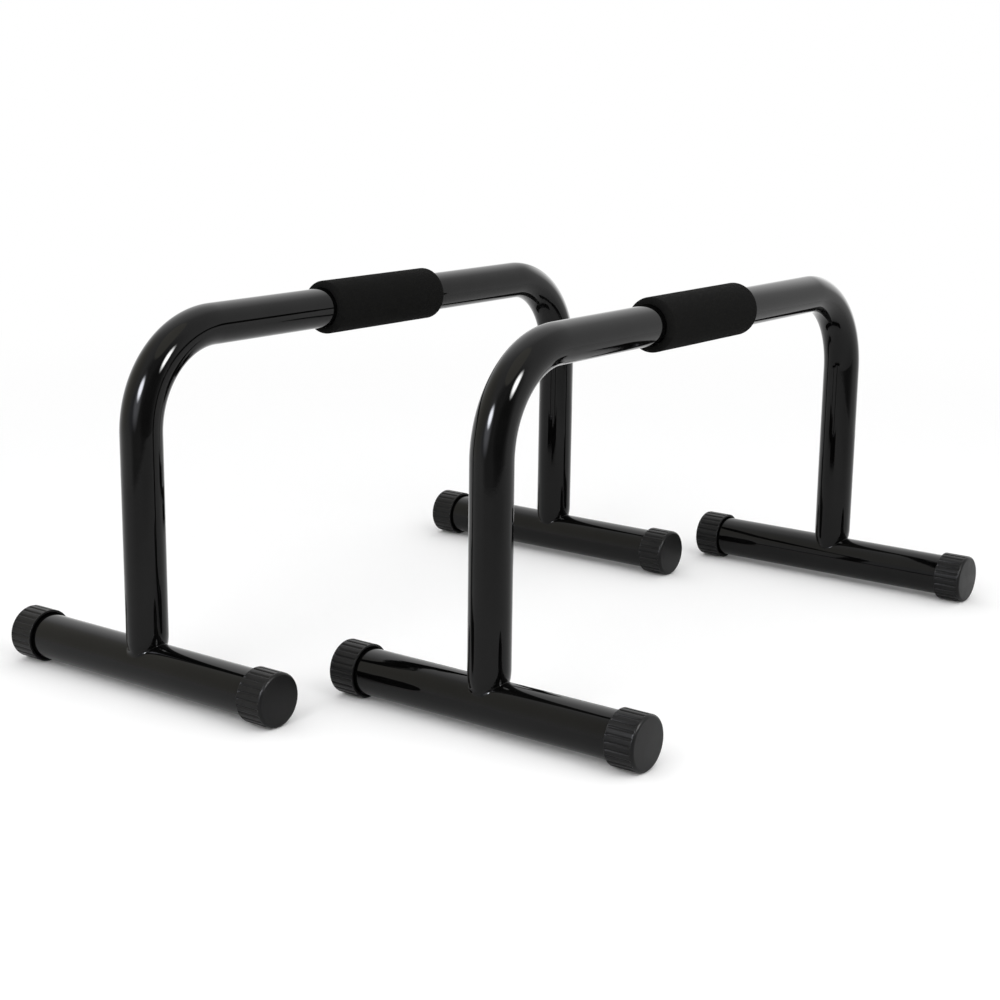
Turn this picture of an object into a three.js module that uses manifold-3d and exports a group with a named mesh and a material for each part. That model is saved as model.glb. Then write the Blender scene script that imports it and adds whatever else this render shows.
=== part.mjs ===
// A pair of low, free-standing dip bars.
//
// Each bar is one steel tube bent into a hoop. The hoop's two legs are coped to fit over, and welded to,
// two shorter and slightly wider foot tubes that lie across it. Ribbed rubber caps are pushed over the
// ends of the foot tubes, so that only rubber meets the floor, and a foam sleeve grips the handle's middle.
//
// Millimetres, +Z up. The handles run along Y and the foot tubes along X. The origin lies on the floor,
// under the middle of the pair.

import * as THREE from "three";
import { mergeVertices } from "three/addons/utils/BufferGeometryUtils.js";
import Module from "manifold-3d";

// Driving dimensions of a bar.
const barHeight = 343.4; // floor to the top of the handle tube
const legSpacing = 635; // between the axes of the two legs
const bendRadius = 89; // of the tube's centreline, from leg to handle
const footLength = 323.6; // over both rubber caps

// The bent tube and the foot tubes. A foot tube is wider than the leg that stands on it.
const tubeDiameter = 38.1;
const tubeWall = 1.5;
const footTubeExtra = 4.3; // what a foot tube's diameter has over the bent tube's
const footTubeWall = 1.5;

// The weld where a leg stands on its foot tube: a hollow fillet, ground and painted over.
const weldRise = 4.5; // how far it reaches up the leg, where leg and foot tube stand square
const weldSpread = 3; // how far it reaches out over the foot tube there
const weldLeastShare = 0.4; // what is left of both where the two tubes' skins run nearly on
const weldHollowShare = 0.8; // how far its face is pulled in towards its root

// The rubber caps. Ribs run from the open rim into the rounded edge of the closed end.
const capWall = 3.1; // from the socket to the top of a rib
const capLength = 28;
const capFloor = 4; // thickness of the closed end
const capEdgeRadius = 3; // round the closed end
const ribCount = 24;
const grooveWidth = 2.8;
const grooveDepth = 0.9;
const mouthFlare = 1.4; // how much the socket widens towards the open rim
const mouthDepth = 2.4; // over what length it does so

// The foam sleeve on the handle.
const foamThickness = 6.45;
const gripLength = 160;
const gripEndRadius = 5;

// How the pair stands: parallel, with the right bar further back, so that their feet pass each other.
const barSpacing = 303; // between the two handles
const footPassGap = 60.8; // clear distance between feet that stand beside each other

// Clearances, and how far a cutter runs past what it cuts.
const fitGap = 0.3;
const cutOverrun = 6;
const vertexMerge = 1e-3;

// Facets.
const tubeSides = 36;
const boreSides = 18;
const bendSteps = 10;
const gripSides = 32;
const gripRoundSteps = 3;
const capRoundSteps = 3;
const weldFaceSteps = 3;

// What follows from the driving dimensions.
const tubeRadius = tubeDiameter / 2;
const footTubeRadius = (tubeDiameter + footTubeExtra) / 2;
const socketRadius = footTubeRadius + fitGap;
const capRadius = socketRadius + capWall;
const capEdge = Math.min(capEdgeRadius, capFloor);
const gripBore = tubeRadius + fitGap;
const gripRadius = gripBore + foamThickness;
const footAxisHeight = capRadius;
const handleAxisHeight = barHeight - tubeRadius;
const legReach = legSpacing / 2;
const footTubeLength = footLength - 2 * (capFloor + fitGap);
const barStagger = 2 * capRadius + footPassGap;

const steelPaint = new THREE.MeshStandardMaterial({ color: 0x0b0b0c, roughness: 0.12, metalness: 0 });
const capRubber = new THREE.MeshStandardMaterial({ color: 0x242526, roughness: 0.55, metalness: 0 });
const gripFoam = new THREE.MeshStandardMaterial({ color: 0x131312, roughness: 0.95, metalness: 0 });

const wasm = await Module();
wasm.setup();

// A closed geometry as a solid that can be cut or joined.
function solidFrom(geometry) {
  const bare = geometry.clone();
  bare.deleteAttribute("normal");
  bare.deleteAttribute("uv");
  const merged = mergeVertices(bare, vertexMerge);
  return new wasm.Manifold(
    new wasm.Mesh({
      numProp: 3,
      vertProperties: merged.attributes.position.array,
      triVerts: new Uint32Array(merged.index.array),
    }),
  );
}

// The solid's surface as a geometry again.
function geometryFrom(solid) {
  const mesh = solid.getMesh();
  const indexed = new THREE.BufferGeometry();
  indexed.setAttribute("position", new THREE.BufferAttribute(mesh.vertProperties, mesh.numProp));
  indexed.setIndex(new THREE.BufferAttribute(mesh.triVerts, 1));
  const flat = indexed.toNonIndexed();
  flat.computeVertexNormals();
  return flat;
}

// Turns a geometry made round the Y axis so that it lies along X, with what was up at the +X end.
function alongX(geometry) {
  return geometry.rotateZ(-Math.PI / 2);
}

function polygon(radius, sides) {
  const corners = [];
  for (let i = 0; i < sides; i++) {
    const turn = (2 * Math.PI * i) / sides;
    corners.push(new THREE.Vector2(radius * Math.cos(turn), radius * Math.sin(turn)));
  }
  return new THREE.Shape(corners);
}

// Points of a quarter circle round a centre, from one angle to the next quarter.
function quarterArc(centreX, centreY, radius, startAngle, steps) {
  const points = [];
  for (let i = 0; i <= steps; i++) {
    const turn = startAngle + ((Math.PI / 2) * i) / steps;
    points.push(new THREE.Vector2(centreX + radius * Math.cos(turn), centreY + radius * Math.sin(turn)));
  }
  return points;
}

// The centreline of the hoop, in the bar's own frame: up the front leg, round a bend, back along the
// handle, round the other bend and down the rear leg. Its stations are the two leg ends and each step
// of the bends, so that the straight lengths stay in one piece.
class HoopLine extends THREE.Curve {
  constructor() {
    super();
    const bendHeight = handleAxisHeight - bendRadius;
    const bendReach = legReach - bendRadius;
    this.points = [new THREE.Vector3(0, -legReach, footAxisHeight)];
    this.tangents = [new THREE.Vector3(0, 0, 1)];
    for (const side of [-1, 1]) {
      for (let i = 0; i <= bendSteps; i++) {
        const risen = ((Math.PI / 2) * i) / bendSteps;
        const turn = side < 0 ? Math.PI - risen : Math.PI / 2 - risen;
        const out = Math.cos(turn);
        const up = Math.sin(turn);
        this.points.push(
          new THREE.Vector3(0, side * bendReach + bendRadius * out, bendHeight + bendRadius * up),
        );
        this.tangents.push(new THREE.Vector3(0, up, -out));
      }
    }
    this.points.push(new THREE.Vector3(0, legReach, footAxisHeight));
    this.tangents.push(new THREE.Vector3(0, 0, -1));
    this.spans = this.points.length - 1;
  }

  station(share) {
    return Math.round(share * this.spans);
  }

  getPoint(share, target = new THREE.Vector3()) {
    return target.copy(this.points[this.station(share)]);
  }

  getPointAt(share, target) {
    return this.getPoint(share, target);
  }

  getTangentAt(share, target = new THREE.Vector3()) {
    return target.copy(this.tangents[this.station(share)]);
  }
}

// The bent tube with its bore. Each leg ends in the saddle that the foot tube fills.
function bentTube() {
  const line = new HoopLine();
  const sweep = { steps: line.spans, extrudePath: line, bevelEnabled: false };
  const outside = solidFrom(new THREE.ExtrudeGeometry(polygon(tubeRadius, tubeSides), sweep));
  const bore = solidFrom(new THREE.ExtrudeGeometry(polygon(tubeRadius - tubeWall, boreSides), sweep));
  const saddleRadius = footTubeRadius + fitGap;
  const saddleLength = tubeDiameter + 2 * cutOverrun;
  let tube = outside.subtract(bore);
  for (const side of [-1, 1]) {
    const saddle = alongX(new THREE.CylinderGeometry(saddleRadius, saddleRadius, saddleLength, tubeSides));
    saddle.translate(0, side * legReach, footAxisHeight);
    tube = tube.subtract(solidFrom(saddle));
  }
  return geometryFrom(tube);
}

// A plain round tube, lying along X about its own middle.
function footTube() {
  const half = footTubeLength / 2;
  const inner = footTubeRadius - footTubeWall;
  const wall = [
    new THREE.Vector2(inner, -half),
    new THREE.Vector2(footTubeRadius, -half),
    new THREE.Vector2(footTubeRadius, half),
    new THREE.Vector2(inner, half),
    new THREE.Vector2(inner, -half),
  ];
  return alongX(new THREE.LatheGeometry(wall, tubeSides));
}

// The weld, a saddle-shaped ring round the foot of a leg. Its origin is where the leg's axis meets the
// foot tube's. Each section has a root in the corner between the tubes, a toe on the foot tube, a hollow
// face and a top on the leg. The corner is square at the sides of the leg and nearly flat at its front
// and rear, and the section shrinks with it. The toe lies square to the root line, measured on the foot
// tube's skin as if it were rolled out flat.
function weldBead() {
  const legSkin = tubeRadius + fitGap;
  const footSkin = footTubeRadius + fitGap;
  const sectionPoints = weldFaceSteps + 2;
  const positions = [];
  for (let i = 0; i < tubeSides; i++) {
    const turn = (2 * Math.PI * i) / tubeSides;
    const x = legSkin * Math.cos(turn);
    const y = legSkin * Math.sin(turn);
    const lean = Math.asin(y / footSkin);
    const corner = Math.acos(Math.sin(turn) * Math.sin(lean));
    const share = Math.max(Math.tan(corner / 2), weldLeastShare);
    const away = new THREE.Vector2(Math.cos(turn) / Math.cos(lean), Math.sin(turn)).normalize();
    away.multiplyScalar(weldSpread * share);
    const toeLean = lean + away.y / footSkin;
    const root = new THREE.Vector3(x, y, footSkin * Math.cos(lean));
    const top = new THREE.Vector3(x, y, root.z + weldRise * share);
    const toe = new THREE.Vector3(x + away.x, footSkin * Math.sin(toeLean), footSkin * Math.cos(toeLean));
    const pull = top.clone().lerp(toe, 0.5).lerp(root, weldHollowShare);
    const face = new THREE.QuadraticBezierCurve3(toe, pull, top).getPoints(weldFaceSteps);
    for (const point of [root, ...face]) positions.push(...point.toArray());
  }
  const index = [];
  for (let i = 0; i < tubeSides; i++) {
    const here = i * sectionPoints;
    const next = ((i + 1) % tubeSides) * sectionPoints;
    for (let k = 0; k < sectionPoints; k++) {
      const after = (k + 1) % sectionPoints;
      index.push(here + k, next + k, next + after);
      index.push(here + k, next + after, here + after);
    }
  }
  const ring = new THREE.BufferGeometry();
  ring.setAttribute("position", new THREE.Float32BufferAttribute(positions, 3));
  ring.setIndex(index);
  const flat = ring.toNonIndexed();
  flat.computeVertexNormals();
  return flat;
}

// One V-shaped groove between two ribs, along X past both ends of the cap.
function capGroove(angle) {
  const widening = (grooveDepth + cutOverrun) / grooveDepth;
  const bottom = capRadius - grooveDepth;
  const section = new THREE.Shape([
    new THREE.Vector2(bottom, 0),
    new THREE.Vector2(bottom + grooveDepth * widening, (widening * grooveWidth) / 2),
    new THREE.Vector2(bottom + grooveDepth * widening, (-widening * grooveWidth) / 2),
  ]);
  const run = { depth: capLength + 2 * cutOverrun, bevelEnabled: false };
  const groove = new THREE.ExtrudeGeometry(section, run);
  groove.translate(0, 0, -cutOverrun);
  groove.rotateZ(angle);
  return groove.rotateY(Math.PI / 2);
}

// A rubber cap along X, with its open rim at zero. It has one flat side for each rib, and the grooves
// run along the corners between them, so that the lowest rib stands flat on the floor.
function ribbedCap() {
  const cornerShare = 1 / Math.cos(Math.PI / ribCount);
  const cornerRadius = capRadius * cornerShare;
  const socketCorner = socketRadius * cornerShare;
  const socketDepth = capLength - capFloor;
  const cup = [
    new THREE.Vector2(0, socketDepth),
    new THREE.Vector2(socketCorner, socketDepth),
    new THREE.Vector2(socketCorner, mouthDepth),
    new THREE.Vector2(socketCorner + mouthFlare, 0),
    new THREE.Vector2(cornerRadius, 0),
    ...quarterArc(cornerRadius - capEdge, capLength - capEdge, capEdge, 0, capRoundSteps),
    new THREE.Vector2(0, capLength),
  ];
  const halfRib = Math.PI / ribCount;
  const body = alongX(new THREE.LatheGeometry(cup, ribCount, halfRib));
  const grooves = [];
  for (let i = 0; i < ribCount; i++) {
    grooves.push(solidFrom(capGroove(halfRib * (2 * i + 1))));
  }
  return geometryFrom(solidFrom(body).subtract(wasm.Manifold.union(grooves)));
}

// The foam sleeve, along Y about its own middle, with rounded ends.
function foamSleeve() {
  const half = gripLength / 2;
  const round = Math.min(gripEndRadius, foamThickness);
  const profile = [
    new THREE.Vector2(gripBore, -half),
    ...quarterArc(gripRadius - round, round - half, round, -Math.PI / 2, gripRoundSteps),
    ...quarterArc(gripRadius - round, half - round, round, 0, gripRoundSteps),
    new THREE.Vector2(gripBore, half),
    new THREE.Vector2(gripBore, -half),
  ];
  return new THREE.LatheGeometry(profile, gripSides);
}

const shapes = {
  tube: bentTube(),
  foot: footTube(),
  weld: weldBead(),
  cap: ribbedCap(),
  grip: foamSleeve(),
};

function piece(name, shape, material) {
  const mesh = new THREE.Mesh(shape, material);
  mesh.name = name;
  return mesh;
}

// A rubber cap on one end of a foot tube. outward is the end's direction along X.
function endCap(name, outward) {
  const cap = piece(name, shapes.cap, capRubber);
  cap.position.x = outward * (footLength / 2 - capLength);
  cap.rotation.z = outward > 0 ? 0 : Math.PI;
  return cap;
}

// A foot tube with its weld and its two caps. outer is the direction along X that faces away from the
// other bar.
function foot(name, outer) {
  const group = new THREE.Group();
  group.add(piece(name + "_foot_tube", shapes.foot, steelPaint));
  group.add(piece(name + "_weld", shapes.weld, steelPaint));
  group.add(endCap(name + "_outer_cap", outer));
  group.add(endCap(name + "_inner_cap", -outer));
  return group;
}

// One complete bar, about the point on the floor under its handle's middle.
function bar(name, outer) {
  const group = new THREE.Group();
  group.add(piece(name + "_handle_tube", shapes.tube, steelPaint));
  const front = foot(name + "_front", outer);
  front.position.set(0, -legReach, footAxisHeight);
  const rear = foot(name + "_rear", outer);
  rear.position.set(0, legReach, footAxisHeight);
  const grip = piece(name + "_grip", shapes.grip, gripFoam);
  grip.position.z = handleAxisHeight;
  group.add(front, rear, grip);
  return group;
}

const pair = new THREE.Group();
const left = bar("left", -1);
left.position.set(-barSpacing / 2, -barStagger / 2, 0);
const right = bar("right", 1);
right.position.set(barSpacing / 2, barStagger / 2, 0);
pair.add(left, right);

export default pair;
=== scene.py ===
# %% [markdown]
# Low dip bars, dressed for a product picture.
# The real thing is a pair of steel hoops on short cross feet, painted gloss black, with a foam
# sleeve to hold and ribbed rubber caps on the feet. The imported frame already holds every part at
# its real size, so this lesson only makes finer surfaces around it and gives them their finish.

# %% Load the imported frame
import math

import bmesh
import bpy
import numpy as np
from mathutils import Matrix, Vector, noise


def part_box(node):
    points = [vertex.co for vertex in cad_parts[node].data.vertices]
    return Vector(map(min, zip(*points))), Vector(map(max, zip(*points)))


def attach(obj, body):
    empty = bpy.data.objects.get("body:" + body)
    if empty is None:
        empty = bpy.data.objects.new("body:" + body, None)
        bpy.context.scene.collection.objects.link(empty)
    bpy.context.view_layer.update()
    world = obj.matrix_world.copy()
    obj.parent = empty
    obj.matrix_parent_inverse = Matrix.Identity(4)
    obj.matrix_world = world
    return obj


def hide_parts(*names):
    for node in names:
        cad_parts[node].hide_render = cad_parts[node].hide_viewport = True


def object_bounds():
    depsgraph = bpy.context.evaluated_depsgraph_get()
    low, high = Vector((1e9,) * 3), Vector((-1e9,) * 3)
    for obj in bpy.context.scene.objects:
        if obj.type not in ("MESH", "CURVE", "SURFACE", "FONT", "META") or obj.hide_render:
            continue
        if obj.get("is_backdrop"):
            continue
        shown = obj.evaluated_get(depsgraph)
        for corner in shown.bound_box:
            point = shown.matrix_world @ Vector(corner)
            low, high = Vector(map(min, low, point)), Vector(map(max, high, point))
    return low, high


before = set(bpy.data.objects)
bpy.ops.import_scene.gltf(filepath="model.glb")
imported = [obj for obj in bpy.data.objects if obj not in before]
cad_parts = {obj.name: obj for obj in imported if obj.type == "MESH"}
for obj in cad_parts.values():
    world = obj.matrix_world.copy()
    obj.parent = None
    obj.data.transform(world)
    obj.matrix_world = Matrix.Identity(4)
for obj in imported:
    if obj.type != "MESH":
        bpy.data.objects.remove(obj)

cad_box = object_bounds()
print("parts in the frame:", len(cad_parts))
print("its corners in metres:", [round(value, 4) for corner in cad_box for value in corner])

# %% [markdown]
# Lengths in the workshop are millimetres and in Blender metres, so one factor stands between them.
# Whatever the frame can tell is read from it. Sizes that a box can't show, such as the bend radius
# or the size of a weld, are written down where they are first needed.

# %% Read the sizes from the frame
MM = 0.001
X, Y, Z = 0, 1, 2
SIDES = ("left", "right")
ENDS = ("front", "rear")
BODY = {"left": "left_bar", "right": "right_bar"}


def middle(part):
    """The middle of a part's box."""
    low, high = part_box(part)
    return (low + high) / 2


def reach(part, axis):
    """How far a part's box reaches along an axis."""
    low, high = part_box(part)
    return high[axis] - low[axis]


TUBE_RADIUS = reach("left_handle_tube", X) / 2
HANDLE_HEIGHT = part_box("left_handle_tube")[1].z - TUBE_RADIUS
LEG_REACH = reach("left_handle_tube", Y) / 2 - TUBE_RADIUS
FOOT_RADIUS = reach("left_front_foot_tube", Z) / 2
FOOT_HEIGHT = middle("left_front_foot_tube").z
CAP_RADIUS = reach("left_front_outer_cap", Z) / 2
CAP_LENGTH = reach("left_front_outer_cap", X)
GRIP_RADIUS = reach("left_grip", X) / 2
GRIP_LENGTH = reach("left_grip", Y)
print("tube", round(2 * TUBE_RADIUS / MM, 1), "mm, foot tube", round(2 * FOOT_RADIUS / MM, 1), "mm")
print("cap", round(2 * CAP_RADIUS / MM, 1), "mm, grip", round(2 * GRIP_RADIUS / MM, 1), "mm")

# %% [markdown]
# The camera comes first, because everything after it is judged through it. A long lens from a
# little above knee height keeps the two hoops nearly parallel, as a product picture does. The
# place, turn and focal length were fitted to the outline of both bars.

# %% Camera
CAMERA_PLACE = Vector((1074.8, -1494.8, 567.1)) * MM
CAMERA_DEGREES = (76.687, -0.762, 36.756)
# Blender counts the lens and its sensor in millimetres, whatever the unit of the scene.
FOCAL_LENGTH = 68.18
SENSOR_WIDTH = 36

camera_data = bpy.data.cameras.new("camera")
camera_data.lens = FOCAL_LENGTH
camera_data.sensor_width = SENSOR_WIDTH
camera = bpy.data.objects.new("camera", camera_data)
camera.location = CAMERA_PLACE
camera.rotation_euler = [math.radians(angle) for angle in CAMERA_DEGREES]
bpy.context.scene.collection.objects.link(camera)
bpy.context.scene.camera = camera
bpy.context.scene.view_settings.view_transform = "Standard"
print("camera", round(CAMERA_PLACE.length, 3), "m from the middle of the floor")

# %% [markdown]
# Shader trees are easier to read when adding a node and wiring it is one call each. These helpers
# work on a material, on the world and on a node group alike.

# %% Helpers that add and wire nodes
# A Mix node has sockets for every kind of value, so they are picked by number: the factor and the
# two values, then the result.
MIX_SOCKETS = {"FLOAT": ((0, 2, 3), 0), "RGBA": ((0, 6, 7), 2)}


def empty_tree(owner):
    """Switches on the nodes of a material or a world, and clears them away."""
    owner.use_nodes = True
    owner.node_tree.nodes.clear()
    return owner.node_tree


def node(tree, kind, **settings):
    """Adds a node and sets its properties."""
    made = tree.nodes.new("ShaderNode" + kind)
    for name, value in settings.items():
        setattr(made, name, value)
    return made


def wire(tree, source, target):
    """Joins an output socket to an input socket."""
    tree.links.new(source, target)


def feed(tree, value, target):
    """Wires a socket to an input socket, or writes a plain number or colour into it."""
    if isinstance(value, bpy.types.NodeSocket):
        wire(tree, value, target)
    else:
        target.default_value = value


print("node helpers ready")

# %% [markdown]
# A few small sums come back again and again: one operation on two numbers, a slope from one value
# to another, and a blend of two values or of two shaders. Two masks tell which kind of ray is
# asking, because the room looks different to the camera and to a mirror.


# %% Helpers for sums, blends and rays
def math_node(tree, operation, first, second):
    """One sum. Each of the two values is a number or a socket."""
    made = node(tree, "Math", operation=operation)
    for value, socket in zip((first, second), made.inputs):
        feed(tree, value, socket)
    return made.outputs["Value"]


def ramp(tree, value, start, stop, low=0.0, high=1.0):
    """A smooth slope from low at start to high at stop, level on both sides of it."""
    made = node(tree, "MapRange", interpolation_type="SMOOTHSTEP")
    wire(tree, value, made.inputs["Value"])
    for name, number in zip(("From Min", "From Max", "To Min", "To Max"), (start, stop, low, high)):
        made.inputs[name].default_value = number
    return made.outputs["Result"]


def blended(tree, factor, first, second, kind="FLOAT"):
    """A value between two others. They are numbers, or colours when the kind is RGBA."""
    made = node(tree, "Mix", data_type=kind)
    places, result = MIX_SOCKETS[kind]
    for value, place in zip((factor, first, second), places):
        feed(tree, value, made.inputs[place])
    return made.outputs[result]


def blended_shaders(tree, factor, first, second):
    """A shader between two others: the first where the factor is 0, the second where it is 1."""
    made = node(tree, "MixShader")
    for source, socket in zip((factor, first, second), made.inputs):
        wire(tree, source, socket)
    return made.outputs[0]


def ray_masks(tree):
    """Two masks: rays that come by way of gloss or glass, and rays straight from the camera."""
    path = node(tree, "LightPath").outputs
    mirrored = math_node(tree, "MAXIMUM", path["Is Glossy Ray"], path["Is Transmission Ray"])
    return mirrored, path["Is Camera Ray"]


print("sum, blend and ray helpers ready")

# %% [markdown]
# A black gloss tube has hardly a colour of its own: what shows is the room in it. So the room
# matters more than the paint. It is a white studio that is dim behind the camera, with a bright
# ceiling and bright walls at the rear. Each of these is a round patch of sky with a soft edge.

# %% Patches of the studio
DOME_WHITE = 0.97
ROOM_WHITE = 1.22
PLAIN = (1.0, 1.0, 1.0)
WARM = (1.03, 1.0, 0.90)
COOL = (0.95, 0.97, 1.05)
# A patch is its azimuth, elevation, core and edge in degrees, then how white it is, and its tint.
ROOM_PATCHES = {
    "dim end behind the camera": (-40, 4, 45, 68, 0.50, PLAIN),
    "dark doorway in the dim end": (-22, 8, 14, 38, 0.18, PLAIN),
    "cool light under the left lamp": (-98, 12, 6, 24, 0.95, COOL),
    "grey wall on the left": (-150, 25, 12, 42, 1.05, WARM),
    "bright panel at the rear right": (92, 9, 8, 24, 2.60, PLAIN),
    "bright rear ceiling": (128, 54, 15, 38, 1.75, PLAIN),
    "bright ceiling over the dim end": (-30, 72, 18.5, 22.5, 1.68, WARM),
}


def grey(white, tint=PLAIN):
    """A colour with its fourth number, from how white it is and a tint."""
    return (*[white * share for share in tint], 1)


def sky_way(azimuth, elevation):
    """The direction towards a place in the sky, which is given in degrees."""
    azimuth, elevation = math.radians(azimuth), math.radians(elevation)
    level = math.cos(elevation)
    return level * math.cos(azimuth), level * math.sin(azimuth), math.sin(elevation)


print("patches:", ", ".join(ROOM_PATCHES))

# %% [markdown]
# Only mirror rays see this room. The camera sees plain white, and matt surfaces get an even light.
# Where a ray looks within a patch is told by the product of two directions: it is the cosine of the
# angle between the ray and the middle of the patch.

# %% Studio world
world = bpy.data.worlds.new("studio")
bpy.context.scene.world = world
tree = empty_tree(world)
looked_at = node(tree, "TexCoord").outputs["Generated"]
room = grey(ROOM_WHITE)
for name, (azimuth, elevation, core, edge, white, tint) in ROOM_PATCHES.items():
    towards = node(tree, "VectorMath", operation="DOT_PRODUCT", label=name)
    wire(tree, looked_at, towards.inputs[0])
    towards.inputs[1].default_value = sky_way(azimuth, elevation)
    edge_cosine, core_cosine = math.cos(math.radians(edge)), math.cos(math.radians(core))
    inside = ramp(tree, towards.outputs["Value"], edge_cosine, core_cosine)
    room = blended(tree, inside, room, grey(white, tint), kind="RGBA")
mirrored, straight = ray_masks(tree)
sky = blended(tree, mirrored, grey(DOME_WHITE), room, kind="RGBA")
sky = blended(tree, straight, sky, grey(1.0), kind="RGBA")
background = node(tree, "Background")
wire(tree, sky, background.inputs["Color"])
wire(tree, background.outputs[0], node(tree, "OutputWorld").inputs["Surface"])
print("studio world with", len(ROOM_PATCHES), "patches and", len(tree.nodes), "nodes")

# %% [markdown]
# The floor is one square sheet a hair under the caps. It is far larger than the picture, so that
# its edge never shows.

# %% Floor sheet
FLOOR_SIZE = 24.0
FLOOR_DROP = 0.1 * MM

rim = FLOOR_SIZE / 2
corners = [(x, y, -FLOOR_DROP) for x, y in ((-rim, -rim), (rim, -rim), (rim, rim), (-rim, rim))]
floor_mesh = bpy.data.meshes.new("floor")
floor_mesh.from_pydata(corners, [], [(0, 1, 2, 3)])
floor = bpy.data.objects.new("floor", floor_mesh)
bpy.context.scene.collection.objects.link(floor)
floor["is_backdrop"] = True
print("floor", FLOOR_SIZE, "m wide")

# %% [markdown]
# The sheet looks like white card. Near the bars it is lit, so that it takes their soft shadows.
# Further out it fades into the same white as the room, which hides the horizon. In the tubes the
# card is a round one that greys outwards and ends a good metre away. Beyond its rim mirror rays pass
# it and see the dim room, which gives the dark wedges in the bends and the upper legs.

# %% White card
CARD_WHITE = 0.97
# Each pair is where a change begins and where it is complete, in metres from the middle.
LIT_TO_WHITE = (1.0, 2.2)
CARD_GREYING = (0.45, 1.05)
CARD_RIM = (1.14, 1.30)
CARD_GREY = 0.3

card = bpy.data.materials.new("white_card")
tree = empty_tree(card)
away = node(tree, "VectorMath", operation="LENGTH")
wire(tree, node(tree, "TexCoord").outputs["Object"], away.inputs[0])
from_middle = away.outputs["Value"]
mirrored, straight = ray_masks(tree)
lit = node(tree, "BsdfDiffuse")
lit.inputs["Color"].default_value = grey(CARD_WHITE)
seen = math_node(tree, "MAXIMUM", mirrored, straight)
whiter = math_node(tree, "MULTIPLY", ramp(tree, from_middle, *LIT_TO_WHITE), seen)
surface = blended_shaders(tree, whiter, lit.outputs[0], node(tree, "Emission").outputs[0])
greyed = ramp(tree, from_middle, *CARD_GREYING, high=CARD_GREY)
passed = math_node(tree, "MAXIMUM", ramp(tree, from_middle, *CARD_RIM), greyed)
passed = math_node(tree, "MULTIPLY", passed, mirrored)
surface = blended_shaders(tree, passed, surface, node(tree, "BsdfTransparent").outputs[0])
wire(tree, surface, node(tree, "OutputMaterial").inputs["Surface"])
floor_mesh.materials.append(card)
print("white card with", len(tree.nodes), "nodes")

# %% [markdown]
# Two bright lamps make the white glints on the bends, and a large dim one under the left lamp draws
# the cool streak down the legs. Only mirror rays see these three. Two more lamps just above them
# give the soft light, and only matt surfaces see those. They are kept apart because a lamp small
# enough for a glint would throw hard shadows. A lamp for glints is a round diffuser: bright in the
# middle and fading towards its rim.

# %% Helpers for lamps
# Places on a lamp's face are counted in its own widths. The fade runs between two distances from
# the middle.
FACE_MIDDLE = (0.5, 0.5, 0)
FACE_FADE = (0.15, 0.5)


def softbox(name, place, size, white, tint, glint):
    """An oval lamp that faces the bars. Mirror rays see it if it is for glints, matt ones if not."""
    width, depth = size
    face = math.pi / 4 * width * depth
    data = bpy.data.lights.new(name, "AREA")
    data.shape = "ELLIPSE"
    data.size, data.size_y = width, depth
    data.color = tint
    data.energy = math.pi * face * white
    lamp = bpy.data.objects.new(name, data)
    lamp.location = Vector(place) * MM
    aim = Vector((0, 0, HANDLE_HEIGHT / 2)) - lamp.location
    lamp.rotation_euler = aim.to_track_quat("-Z", "Y").to_euler()
    lamp.visible_camera = False
    lamp.visible_glossy = glint
    lamp.visible_transmission = glint
    lamp.visible_diffuse = not glint
    bpy.context.scene.collection.objects.link(lamp)
    print(name, "at", [round(value, 2) for value in lamp.location], "m,", round(data.energy, 1), "W")
    return data


def fade_rim(data):
    """Dims a lamp from the middle part of its face to the rim."""
    data.use_nodes = True
    tree = data.node_tree
    off_middle = node(tree, "VectorMath", operation="SUBTRACT")
    wire(tree, node(tree, "NewGeometry").outputs["Parametric"], off_middle.inputs[0])
    off_middle.inputs[1].default_value = FACE_MIDDLE
    flat = node(tree, "VectorMath", operation="MULTIPLY")
    wire(tree, off_middle.outputs[0], flat.inputs[0])
    flat.inputs[1].default_value = (1, 1, 0)
    out = node(tree, "VectorMath", operation="LENGTH")
    wire(tree, flat.outputs[0], out.inputs[0])
    strength = ramp(tree, out.outputs["Value"], *FACE_FADE, low=1.0, high=0.0)
    wire(tree, strength, tree.nodes["Emission"].inputs["Strength"])


print("lamp helpers ready")

# %% [markdown]
# The places of the lamps come from the glints, because each glint on a bend fixes one direction.
# How white the soft lamps are was judged on the foam, the caps and the shadows on the floor.

# %% Lamps
# A lamp is its place in millimetres, its size in metres, how white its face is, and its tint.
GLINT_LAMPS = {
    "right_glint": ((1364, -328, 1110), (0.66, 0.62), 78, PLAIN),
    "left_glint": ((134, -1568, 985), (0.66, 0.68), 58, COOL),
    "left_stand": ((134, -1568, 720), (1.05, 1.50), 3.2, COOL),
}
SOFT_LAMPS = {
    "right_soft": ((1364, -328, 1205), (1.0, 1.0), 2.2, PLAIN),
    "left_soft": ((134, -1568, 1050), (1.0, 1.0), 2.2, PLAIN),
}
for name, settings in GLINT_LAMPS.items():
    fade_rim(softbox(name, *settings, glint=True))
for name, settings in SOFT_LAMPS.items():
    softbox(name, *settings, glint=False)

# %% [markdown]
# Three finishes cover the bars, and all three show the same two things at different strengths: a
# fine grain in the surface, and broad patches where it is a little duller. Each effect is a node
# group with named inputs, so a finish only says how coarse and how strong it is.


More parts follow.
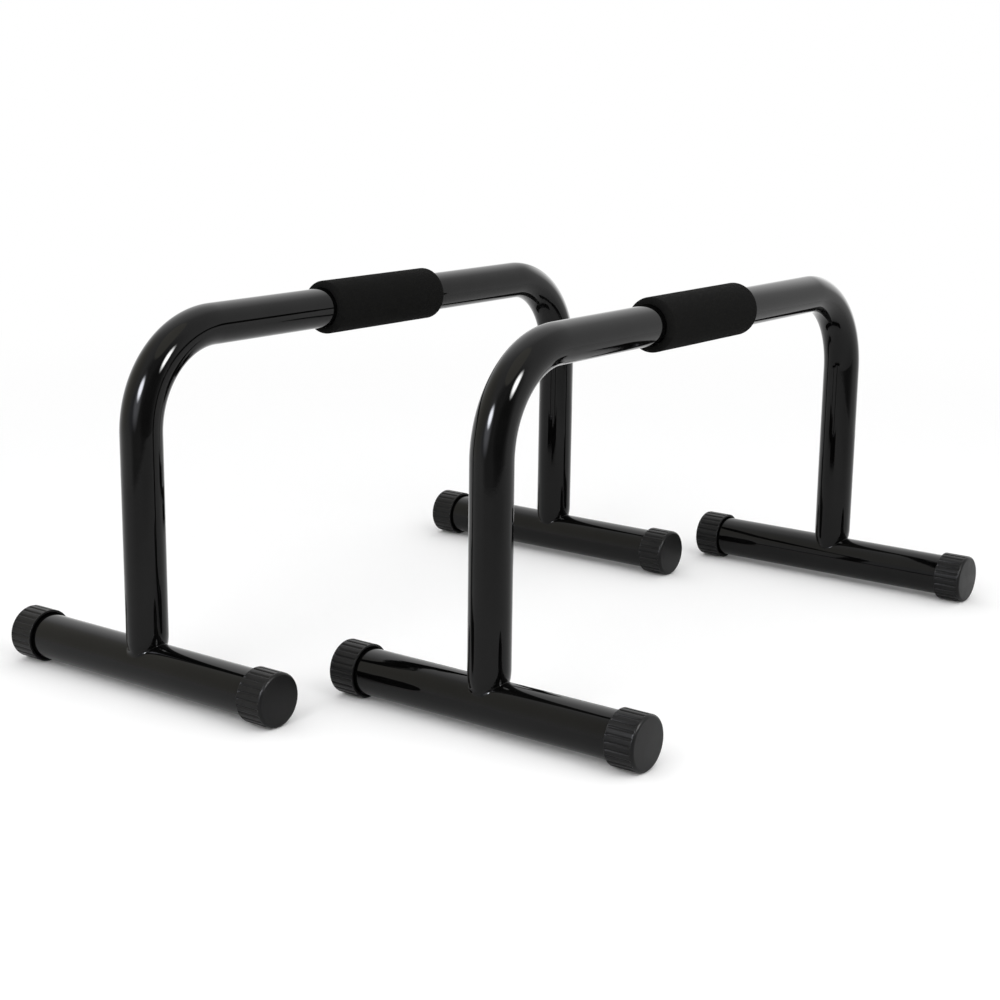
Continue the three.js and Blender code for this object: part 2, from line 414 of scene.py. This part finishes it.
# %% An empty node group
def group(name, inputs, output):
    """A node group with number inputs and one number output. Its two ends are returned with it."""
    tree = bpy.data.node_groups.new(name, "ShaderNodeTree")
    for label, value in inputs.items():
        socket = tree.interface.new_socket(label, in_out="INPUT", socket_type="NodeSocketFloat")
        socket.default_value = value
    tree.interface.new_socket(output, in_out="OUTPUT", socket_type="NodeSocketFloat")
    start = tree.nodes.new("NodeGroupInput")
    stop = tree.nodes.new("NodeGroupOutput")
    return tree, start.outputs, stop.inputs


print("group helper ready")

# %% [markdown]
# Grain is either a rough noise, as on levelled paint, or the distance from scattered points, as on
# a skin of round cells. One input blends from the first to the second.

# %% Fine grain
GRAIN_DETAIL = 2.0

grain_group, given, result = group("fine_grain", {"Grains per metre": 1000.0, "Rounded": 0.5}, "Height")
spot = node(grain_group, "TexCoord").outputs["Object"]
rough = node(grain_group, "TexNoise")
rough.inputs["Detail"].default_value = GRAIN_DETAIL
cells = node(grain_group, "TexVoronoi", feature="SMOOTH_F1")
for texture in (rough, cells):
    wire(grain_group, spot, texture.inputs["Vector"])
    wire(grain_group, given["Grains per metre"], texture.inputs["Scale"])
height = blended(grain_group, given["Rounded"], rough.outputs["Fac"], cells.outputs["Distance"])
wire(grain_group, height, result["Height"])
print("group", grain_group.name, "with", len(grain_group.nodes), "nodes")

# %% [markdown]
# The broad patches are one slow noise, spread out so that most of the surface is either clean or
# dull, with soft borders between.

# %% Soft patches
PATCH_DETAIL = 3.0
PATCH_BORDER = (0.35, 0.65)

patch_inputs = {"Patches per metre": 40.0, "Low": 0.0, "High": 1.0}
patch_group, given, result = group("soft_patches", patch_inputs, "Value")
broad = node(patch_group, "TexNoise")
broad.inputs["Detail"].default_value = PATCH_DETAIL
wire(patch_group, node(patch_group, "TexCoord").outputs["Object"], broad.inputs["Vector"])
wire(patch_group, given["Patches per metre"], broad.inputs["Scale"])
dullness = ramp(patch_group, broad.outputs["Fac"], *PATCH_BORDER)
wire(patch_group, blended(patch_group, dullness, given["Low"], given["High"]), result["Value"])
print("group", patch_group.name, "with", len(patch_group.nodes), "nodes")

# %% [markdown]
# Every finish starts the same way: a Principled shader, a patchy roughness, and a grain that tilts
# the surface a little. The base colour wanders between two close tones, as pigment and dust do.


# %% A finish with grain and patches
def finish_material(name, tones, roughness, refraction, shine, patches, grain, rounded, grain_depth):
    """tones and roughness are pairs: the values in the clean and in the dull patches."""
    clean_tone, dull_tone = [(*tone, 1) for tone in tones]
    material = bpy.data.materials.new(name)
    tree = empty_tree(material)
    surface = node(tree, "BsdfPrincipled")
    surface.inputs["IOR"].default_value = refraction
    surface.inputs["Specular IOR Level"].default_value = shine
    dull = node(tree, "Group", node_tree=patch_group)
    dull.inputs["Patches per metre"].default_value = patches
    dull.inputs["Low"].default_value, dull.inputs["High"].default_value = roughness
    wire(tree, dull.outputs["Value"], surface.inputs["Roughness"])
    where = node(tree, "Group", node_tree=patch_group)
    where.inputs["Patches per metre"].default_value = patches
    tone = blended(tree, where.outputs["Value"], clean_tone, dull_tone, kind="RGBA")
    wire(tree, tone, surface.inputs["Base Color"])
    fine = node(tree, "Group", node_tree=grain_group)
    fine.inputs["Grains per metre"].default_value = grain
    fine.inputs["Rounded"].default_value = rounded
    bump = node(tree, "Bump")
    bump.inputs["Distance"].default_value = grain_depth
    wire(tree, fine.outputs["Height"], bump.inputs["Height"])
    wire(tree, bump.outputs["Normal"], surface.inputs["Normal"])
    wire(tree, surface.outputs[0], node(tree, "OutputMaterial").inputs["Surface"])
    material.diffuse_color = clean_tone
    print(name, "with", len(tree.nodes), "nodes")
    return material


# %% [markdown]
# Gloss powder coat levels out to a slow ripple, far finer than it is wide, so its grain is a few
# thousandths of a millimetre deep. Moulded rubber is dull and keeps the fine grain of its mould.
# The foam of the grip is cut through its cells, so it is rough all over and reflects almost nothing.

# %% The three finishes
gloss_paint = finish_material(
    "gloss_paint", tones=[(0.0010, 0.0010, 0.0010), (0.0018, 0.0018, 0.0018)], roughness=(0.03, 0.05),
    refraction=1.27, shine=0.5, patches=30, grain=330, rounded=0.0, grain_depth=0.010 * MM)
cap_rubber = finish_material(
    "cap_rubber", tones=[(0.0042, 0.0042, 0.0045), (0.0054, 0.0054, 0.0054)], roughness=(0.34, 0.40),
    refraction=1.24, shine=0.5, patches=90, grain=1600, rounded=0.3, grain_depth=0.04 * MM)
grip_foam = finish_material(
    "grip_foam", tones=[(0.0032, 0.0032, 0.0030), (0.0048, 0.0048, 0.0045)], roughness=(0.85, 0.95),
    refraction=1.40, shine=0.06, patches=220, grain=900, rounded=0.7, grain_depth=0.35 * MM)
FINISHES = {"gloss_paint": gloss_paint, "cap_rubber": cap_rubber, "grip_foam": grip_foam}

# %% [markdown]
# Every piece here is a stack of rings of points: round a tube, round a weld, round a cap. So one
# helper skins such a stack with four-sided faces. A stack can close on itself, like the wall of a
# tube that goes up outside and comes back down inside, or end in a point, like the middle of a cap.

# %% Skin a stack of rings
SHARP_DEGREES = 35
MERGE_DISTANCE = 1e-7


def ring_faces(ring_count, count, loop):
    """Faces between each ring and the next one, and from the last to the first in a loop."""
    faces = []
    for step in range(ring_count if loop else ring_count - 1):
        here, ahead = step * count, (step + 1) % ring_count * count
        for index in range(count):
            after = (index + 1) % count
            faces.append((here + index, here + after, ahead + after, ahead + index))
    return faces


def skin(name, rings, slot, body, replaced, loop=False):
    """Makes a piece of the object from rings with the same number of points, given in metres."""
    mesh = bpy.data.meshes.new(name)
    points = [tuple(point) for ring in rings for point in ring]
    mesh.from_pydata(points, [], ring_faces(len(rings), len(rings[0]), loop))
    shaped = bmesh.new()
    shaped.from_mesh(mesh)
    if not loop:
        bmesh.ops.remove_doubles(shaped, verts=shaped.verts, dist=MERGE_DISTANCE)
    bmesh.ops.recalc_face_normals(shaped, faces=shaped.faces)
    shaped.to_mesh(mesh)
    shaped.free()
    mesh.shade_smooth()
    mesh.set_sharp_from_angle(angle=math.radians(SHARP_DEGREES))
    mesh.materials.append(FINISHES[slot])
    piece = bpy.data.objects.new(name, mesh)
    bpy.context.scene.collection.objects.link(piece)
    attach(piece, body)
    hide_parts(replaced)
    return piece


print("skinning helper ready")

# %% [markdown]
# The handle tube is one length of round tube bent twice. Its middle line lies in one upright plane,
# so a ring only needs a place on that line and the way the line runs there. The bends get close
# rings, because a gloss tube shows every flat in its reflections.

# %% The line of the hoop
TUBE_POINTS = 128
BEND_RADIUS = 89 * MM
BEND_STEPS = 56
BEND_GUARD = 0.5 * MM
circle = np.linspace(0, 2 * math.pi, TUBE_POINTS, endpoint=False)


def hoop_line():
    """Places (y, z) on the middle line and its direction, as an angle from level, foot to foot."""
    low_bend = HANDLE_HEIGHT - BEND_RADIUS
    turn = LEG_REACH - BEND_RADIUS
    half = [(-LEG_REACH, low_bend - BEND_GUARD, math.pi / 2)]
    for angle in np.linspace(0, math.pi / 2, BEND_STEPS + 1):
        half.append((-turn - BEND_RADIUS * math.cos(angle), low_bend + BEND_RADIUS * math.sin(angle),
                     math.pi / 2 - angle))
    half.append((-turn + BEND_GUARD, HANDLE_HEIGHT, 0.0))
    return half + [(-y, z, -way) for y, z, way in reversed(half)]


def tube_ring(place, radius):
    """A ring of points round the hoop's line."""
    y, z, way = place
    across = radius * np.cos(circle)
    outward = radius * np.sin(circle)
    return np.stack([across, y - outward * math.sin(way), z + outward * math.cos(way)], 1)


print("the hoop's line has", len(hoop_line()), "places")

# %% [markdown]
# The legs end in a saddle, cut to the roundness of the foot tube they stand on. The last centimetre
# of a leg is drawn in by about a millimetre. That is hardly seen in its outline, but a gloss leg that
# tilts down at its end mirrors the foot tube under it, and this is the dark flare over every joint.

# %% The coped ends of the legs
DRAWN_IN = 1.3 * MM
DRAW_HEIGHT = 12.0 * MM
DRAW_STEPS = 12


def leg_radius(radius, lift):
    """The radius of a leg at a height over the foot tube."""
    return radius - DRAWN_IN * max(1 - lift / DRAW_HEIGHT, 0) ** 2


def leg_end_rings(y, way, radius):
    """The coped end of a leg: rings dropped onto the foot tube, from its edge up to the plain leg."""
    lifts = [*np.linspace(0, DRAW_HEIGHT, DRAW_STEPS + 1), DRAW_HEIGHT + BEND_GUARD]
    rings = []
    for lift in lifts:
        ring = tube_ring((y, 0.0, way), leg_radius(radius, lift))
        ring[:, Z] = FOOT_HEIGHT + np.sqrt(FOOT_RADIUS ** 2 - (ring[:, Y] - y) ** 2) + lift
        rings.append(ring)
    return rings


print("a leg ends", round(2 * leg_radius(TUBE_RADIUS, 0) / MM, 1), "mm thick")

# %% [markdown]
# The wall of the handle tube is skinned in one round trip: up the front leg, over and down the rear
# one along the outside, then back along the inside.

# %% Handle tubes
TUBE_WALL = 1.5 * MM

walls = []
for radius in (TUBE_RADIUS, TUBE_RADIUS - TUBE_WALL):
    wall = leg_end_rings(-LEG_REACH, math.pi / 2, radius)
    wall += [tube_ring(place, radius) for place in hoop_line()]
    wall += leg_end_rings(LEG_REACH, -math.pi / 2, radius)[::-1]
    walls.append(wall)
outer_wall, inner_wall = walls
handle_shape = np.array(outer_wall + inner_wall[::-1])
for side in SIDES:
    cad_name = side + "_handle_tube"
    centre = middle(cad_name)
    rings = handle_shape + np.array([centre.x, centre.y, 0])
    skin(side + "_handle", rings, "gloss_paint", BODY[side], cad_name, loop=True)
print("two handle tubes:", handle_shape.shape[0], "rings of", handle_shape.shape[1], "points")

# %% [markdown]
# The foot tubes are straight lengths of a wider tube. Both ends are hidden in the caps, but they
# are still open tubes with a wall, so that the piece is a sound solid by itself.


# %% Foot tubes
def ring_round_x(x, radius, turn):
    """A ring of points round the X axis. The radius is one number, or one for each point."""
    return np.stack([np.full(len(turn), x), radius * np.cos(turn), radius * np.sin(turn)], 1)


def straight_tube_rings(length):
    """Four rings along X: out along the outside and back along the inside."""
    half, bore = length / 2, FOOT_RADIUS - TUBE_WALL
    outline = ((-half, FOOT_RADIUS), (half, FOOT_RADIUS), (half, bore), (-half, bore))
    return np.array([ring_round_x(x, radius, circle) for x, radius in outline])


for side in SIDES:
    for end in ENDS:
        cad_name = side + "_" + end + "_foot_tube"
        rings = straight_tube_rings(reach(cad_name, X)) + np.array(middle(cad_name))
        skin(side + "_" + end + "_foot", rings, "gloss_paint", BODY[side], cad_name, loop=True)
print("four foot tubes,", round(reach("left_front_foot_tube", X) / MM, 1), "mm long")

# %% [markdown]
# The welds were ground and painted over, so little of them shows: a thin neck that hugs the drawn in
# end of the leg, and a hollow bead in the crease over the foot tube. Where two round tubes cross, the
# crease is square on the two sides where the foot runs on, and nearly flat on the other two. In the
# square crease the bead is a mere thread. On the leg's outer side it is wide, so that leg and foot
# flow into each other, and beside that it stays plump enough to catch a lamp as a bright dot.

# %% Sizes of a weld
# The bead's radius in millimetres at angles round the leg. -90 degrees is the leg's outer side.
BEAD_RADII = {-180: 0.35, -132: 0.35, -112: 6, -78: 7, -64: 5, -56: 5, -48: 2, -40: 0.35,
              45: 0.35, 75: 3, 105: 3, 135: 0.35, 180: 0.35}
BEAD_SMOOTHINGS = 3

degrees = (np.degrees(circle) + 180) % 360 - 180
bead_radii = np.interp(degrees, list(BEAD_RADII), list(BEAD_RADII.values())) * MM
for _ in range(BEAD_SMOOTHINGS):
    bead_radii = (np.roll(bead_radii, 1) + 2 * bead_radii + np.roll(bead_radii, -1)) / 4
print("bead radius from", round(bead_radii.min() / MM, 2), "to", round(bead_radii.max() / MM, 2), "mm")

# %% [markdown]
# The bead touches both tubes, so two things must be known at any place: how high the top of the foot
# tube is, and which way the drawn in leg faces. Heights are counted from the foot tube's middle line.


# %% The two surfaces that a weld joins
def unit(vector):
    """The same direction, one long."""
    return vector / np.linalg.norm(vector)


def foot_top(y):
    """How high the foot tube is over its middle line."""
    return math.sqrt(FOOT_RADIUS ** 2 - y ** 2)


def leg_face(point):
    """The way the drawn in leg faces at a point on it."""
    x, y, z = point
    slope = 2 * DRAWN_IN / DRAW_HEIGHT * max(1 - (z - foot_top(y)) / DRAW_HEIGHT, 0)
    return unit(unit(np.array([x, y, 0])) - slope * np.array([0, y / foot_top(y), 1]))


print("at the leg's outer side the crease is", round(foot_top(TUBE_RADIUS) / MM, 1), "mm up")

# %% [markdown]
# At each angle round the leg a step is walked from the crease up the leg, and another out over the
# foot tube. An arc joins the two places and runs along the tube at both. It is pulled towards the
# spot near the crease where the two tubes' tangent planes meet. A root under the crease closes the
# section where nobody sees it.

# %% The section of a bead
BEAD_STEPS = 14
ROOT_DEPTH = 0.3 * MM


def hollow_arc(corner, top, top_out, toe, toe_out):
    """Points from top to toe on an arc that touches the surface at both and sags to the corner."""
    planes = np.array([top_out, toe_out])
    misses = np.array([top_out @ (top - corner), toe_out @ (toe - corner)])
    pull = corner + planes.T @ np.linalg.solve(planes @ planes.T, misses)
    weight = math.sqrt((1 + unit(pull - top) @ unit(toe - pull)) / 2)
    arc = []
    for share in np.linspace(0, 1, BEAD_STEPS + 1):
        parts = np.array([(1 - share) ** 2, 2 * weight * share * (1 - share), share ** 2])
        arc.append((parts[0] * top + parts[1] * pull + parts[2] * toe) / parts.sum())
    return arc


def weld_section(angle, bead_radius):
    """The bead at an angle round the leg, from the leg down to the foot, and its hidden root."""
    corner = leg_radius(TUBE_RADIUS, 0) * np.array([math.cos(angle), math.sin(angle), 0])
    corner[Z] = foot_top(corner[Y])
    leg_out = leg_face(corner)
    foot_out = np.array([0, corner[Y], corner[Z]]) / FOOT_RADIUS
    seam = unit(np.cross(leg_out, foot_out))
    up = np.cross(seam, leg_out)
    up *= math.copysign(1, up @ foot_out)
    out = np.cross(seam, foot_out)
    out *= math.copysign(1, out @ leg_out)
    step = bead_radius * math.tan(math.acos(leg_out @ foot_out) / 2)
    # One step up the leg, brought back onto its drawn in surface.
    top = corner + step * up
    lift = top[Z] - foot_top(top[Y])
    top[:2] *= leg_radius(TUBE_RADIUS, lift) / np.linalg.norm(top[:2])
    top[Z] = foot_top(top[Y]) + lift
    # One step out over the foot tube, wrapped round it.
    lean = math.atan2(corner[Y], corner[Z])
    lean += step / FOOT_RADIUS * (out @ np.array([0, math.cos(lean), -math.sin(lean)]))
    toe_out = np.array([0, math.sin(lean), math.cos(lean)])
    toe = FOOT_RADIUS * toe_out + np.array([corner[X] + step * out[X], 0, 0])
    root = corner - ROOT_DEPTH * (leg_out + foot_out)
    return hollow_arc(corner, top, leg_face(top), toe, toe_out) + [root]


print("a bead's section has", len(weld_section(0, bead_radii[0])), "points")

# %% [markdown]
# The neck is a skin a hair outside the leg. Its top ring dips under the leg's surface, so it shows no
# edge. The weld of a rear leg is the front one turned half way round.

# %% Weld beads
NECK_HEIGHT = 4.5 * MM
NECK_FOOT = 3.0 * MM
NECK_STEPS = 5
NECK_SKIN = 0.03 * MM


def neck_rings():
    """Rings that lie a hair outside the end of the leg, from the neck's top down to the bead."""
    rings = []
    for lift in np.linspace(NECK_HEIGHT, NECK_FOOT, NECK_STEPS):
        radius = leg_radius(TUBE_RADIUS, lift) + (NECK_SKIN if lift < NECK_HEIGHT else -NECK_SKIN)
        around = np.stack([radius * np.cos(circle), radius * np.sin(circle)], 1)
        height = np.sqrt(FOOT_RADIUS ** 2 - around[:, Y] ** 2) + lift
        rings.append(np.concatenate([around, height[:, None]], 1))
    return rings


sections = np.array([weld_section(angle, radius) for angle, radius in zip(circle, bead_radii)])
weld_shape = np.concatenate([neck_rings(), sections.transpose(1, 0, 2)])
for side in SIDES:
    for end, sign in zip(ENDS, (-1, 1)):
        centre = middle(side + "_handle_tube")
        shift = np.array([centre.x, centre.y + sign * LEG_REACH, FOOT_HEIGHT])
        rings = weld_shape * np.array([-sign, -sign, 1]) + shift
        name = side + "_" + end + "_weld"
        skin(name + "_bead", rings, "gloss_paint", BODY[side], name, loop=True)
print("four welds,", NECK_HEIGHT / MM, "mm up the leg")

# %% [markdown]
# The end caps carry the finest shape on the object: 24 ribs that run along the cap. A cap is turned
# like a cup, from the middle of its face, over the rounded edge, along the side, round the mouth and
# back inside. The mouth is flared a little, which leaves a dark gap round the tube. Along the side it
# has rings only where the grooves begin and end.

# %% The outline of a cap
CLOSED_EDGE = 3.0 * MM
EDGE_STEPS = 3
# The grooves deepen between these two distances from the closed face, and run out again over a
# last stretch before the mouth's round.
RUN_OUT = (1.8 * MM, 4.3 * MM)
LIP_RUN_OUT = 1.6 * MM
LIP_STEPS = 6
MOUTH_ROUND = 0.4 * MM
MOUTH_FLARE = 1.5 * MM
MOUTH_DEPTH = 2.4 * MM
CAP_FLOOR = 4.0 * MM
CAP_BORE = FOOT_RADIUS + 0.05 * MM
LIP = CAP_LENGTH - MOUTH_ROUND
ARC_STEPS = 12


def quarter(centre_x, centre_r, radius, start_angle):
    """A quarter turn of an outline. Angle 0 points along the axis, 90 degrees away from it."""
    turns = np.linspace(start_angle, start_angle - math.pi / 2, ARC_STEPS)
    return [(centre_x + radius * math.cos(turn), centre_r + radius * math.sin(turn)) for turn in turns]


def cap_outline():
    """(distance from the closed face, radius) from the middle of the face round to the inside."""
    along = [*np.linspace(CLOSED_EDGE, RUN_OUT[1], EDGE_STEPS + 1)[1:],
             *np.linspace(LIP - LIP_RUN_OUT, LIP, LIP_STEPS + 1)[:-1]]
    outline = [(0, 0)]
    outline += quarter(CLOSED_EDGE, CAP_RADIUS - CLOSED_EDGE, CLOSED_EDGE, math.pi)
    outline += [(x, CAP_RADIUS) for x in along]
    outline += quarter(LIP, CAP_RADIUS - MOUTH_ROUND, MOUTH_ROUND, math.pi / 2)
    outline += [(CAP_LENGTH, CAP_BORE + MOUTH_FLARE), (CAP_LENGTH - MOUTH_DEPTH, CAP_BORE)]
    outline += [(CAP_FLOOR, CAP_BORE), (CAP_FLOOR, 0)]
    return outline


print("a cap's outline has", len(cap_outline()), "places")

# %% [markdown]
# The grooves between the ribs are cut into that turned shape with a soft start and end. They stop
# short of the closed face, where the smooth rim holds one unbroken highlight, and short of the
# mouth, where a narrow smooth lip is left. A ring has many points a rib, and each land between two
# grooves is crowned a little, so the lands catch the light one by one.

# %% The ribs of a cap
RIBS = 24
POINTS_PER_RIB = 20
GROOVE_WIDTH = 2.8 * MM
GROOVE_DEPTH = 0.9 * MM
LAND_CROWN = 0.10 * MM


def ease(share):
    """Nothing below 0, one above 1, and a smooth slope between them."""
    share = min(max(share, 0), 1)
    return share ** 2 * (3 - 2 * share)


def groove_share(x):
    """How much of its full depth a groove has at a distance from the closed face."""
    return ease((x - RUN_OUT[0]) / (RUN_OUT[1] - RUN_OUT[0])) * ease((LIP - x) / LIP_RUN_OUT)


def cap_rings():
    """The ribbed cap with its closed face at zero and its axis along X, a land at the very bottom."""
    # A whole number of ribs is the middle of a land, and half way between is the middle of a groove.
    ribs = np.arange(RIBS * POINTS_PER_RIB) / POINTS_PER_RIB
    pitch = 2 * math.pi * CAP_RADIUS / RIBS
    off_groove = np.abs(ribs % 1 - 0.5) * pitch
    groove = np.where(off_groove < GROOVE_WIDTH / 2, np.cos(math.pi * off_groove / GROOVE_WIDTH), 0)
    cut = GROOVE_DEPTH * groove + LAND_CROWN * (1 - 2 * off_groove / pitch) ** 2
    turn = 2 * math.pi * ribs / RIBS - math.pi / 2
    rings = []
    for x, radius in cap_outline():
        outside = radius > CAP_BORE + MOUTH_FLARE
        rings.append(ring_round_x(x, radius - cut * groove_share(x) * outside, turn))
    return np.array(rings)


cap_shape = cap_rings()
print("a cap has", RIBS, "ribs and", cap_shape.shape[0], "rings of", cap_shape.shape[1], "points")

# %% [markdown]
# All eight caps are the same. Each one is pushed over an end of a foot tube, so its closed face
# looks away from the middle of that tube.

# %% End caps
for side in SIDES:
    for end in ENDS:
        foot = middle(side + "_" + end + "_foot_tube")
        for place in ("outer", "inner"):
            name = side + "_" + end + "_" + place
            low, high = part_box(name + "_cap")
            outward = math.copysign(1, middle(name + "_cap").x - foot.x)
            face_x = high.x if outward > 0 else low.x
            rings = cap_shape * np.array([-outward, 1, 1]) + np.array([face_x, foot.y, foot.z])
            skin(name + "_end_cap", rings, "cap_rubber", BODY[side], name + "_cap")
print("eight end caps,", round(CAP_LENGTH / MM, 1), "mm long")

# %% [markdown]
# The grip is a sleeve of closed-cell foam, slid over the tube. It is soft, so its ends are well
# rounded and the edge of its bore is broken by a small lip.

# %% The outline of a grip
GRIP_ROUND = 5.0 * MM
GRIP_BORE = TUBE_RADIUS + 0.05 * MM
GRIP_LIP = 0.6 * MM
GRIP_STATIONS = 72


def grip_outline():
    """(place along the handle, radius) round the wall of the sleeve."""
    half = GRIP_LENGTH / 2
    ball = GRIP_RADIUS - GRIP_ROUND
    outline = [(-half + GRIP_LIP, GRIP_BORE), (-half, GRIP_BORE + GRIP_LIP)]
    outline += quarter(-half + GRIP_ROUND, ball, GRIP_ROUND, math.pi)
    run = np.linspace(-half + GRIP_ROUND, half - GRIP_ROUND, GRIP_STATIONS)
    outline += [(y, GRIP_RADIUS) for y in run[1:-1]]
    outline += quarter(half - GRIP_ROUND, ball, GRIP_ROUND, math.pi / 2)
    outline += [(half, GRIP_BORE + GRIP_LIP), (half - GRIP_LIP, GRIP_BORE)]
    return outline


print("a grip's outline has", len(grip_outline()), "places")

# %% [markdown]
# The side of the sleeve isn't dead straight: it swells and sinks by a tenth of a millimetre or two.
# That wander is real shape, made by moving the points with a smooth noise. The cells of the foam
# are far finer, so they stay in the finish.

# %% Foam grips
GRIP_POINTS = 144
GRIP_WANDER = 0.15 * MM
WANDER_PER_METRE = 45


def foam_sink(spot):
    """How far the outside of the foam is drawn in at a place, from nothing to the full wander."""
    return GRIP_WANDER * (0.5 + 0.5 * noise.noise(spot * WANDER_PER_METRE))


def grip_rings(centre):
    """The sleeve round the handle, with the wander on its outside only."""
    turns = np.linspace(0, 2 * math.pi, GRIP_POINTS, endpoint=False)
    rings = []
    for y, radius in grip_outline():
        outside = radius > GRIP_BORE + GRIP_LIP
        ring = []
        for turn in turns:
            way = Vector((math.cos(turn), 0, math.sin(turn)))
            spot = centre + way * radius + Vector((0, y, 0))
            ring.append(spot - way * (foam_sink(spot) if outside else 0))
        rings.append(ring)
    return rings


for side in SIDES:
    rings = grip_rings(middle(side + "_grip"))
    grip = skin(side + "_foam_grip", rings, "grip_foam", BODY[side], side + "_grip", loop=True)
print("two foam grips,", round(GRIP_LENGTH / MM), "mm long")

# %% [markdown]
# Last, the dressed model is measured, and its box is printed beside the box of the imported frame.

# %% Sizes of the dressed model
visual_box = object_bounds()
boxes = {"cad": [list(corner) for corner in cad_box], "visual": [list(corner) for corner in visual_box]}
for name, box in boxes.items():
    print(name, [[round(value / MM, 2) for value in corner] for corner in box])
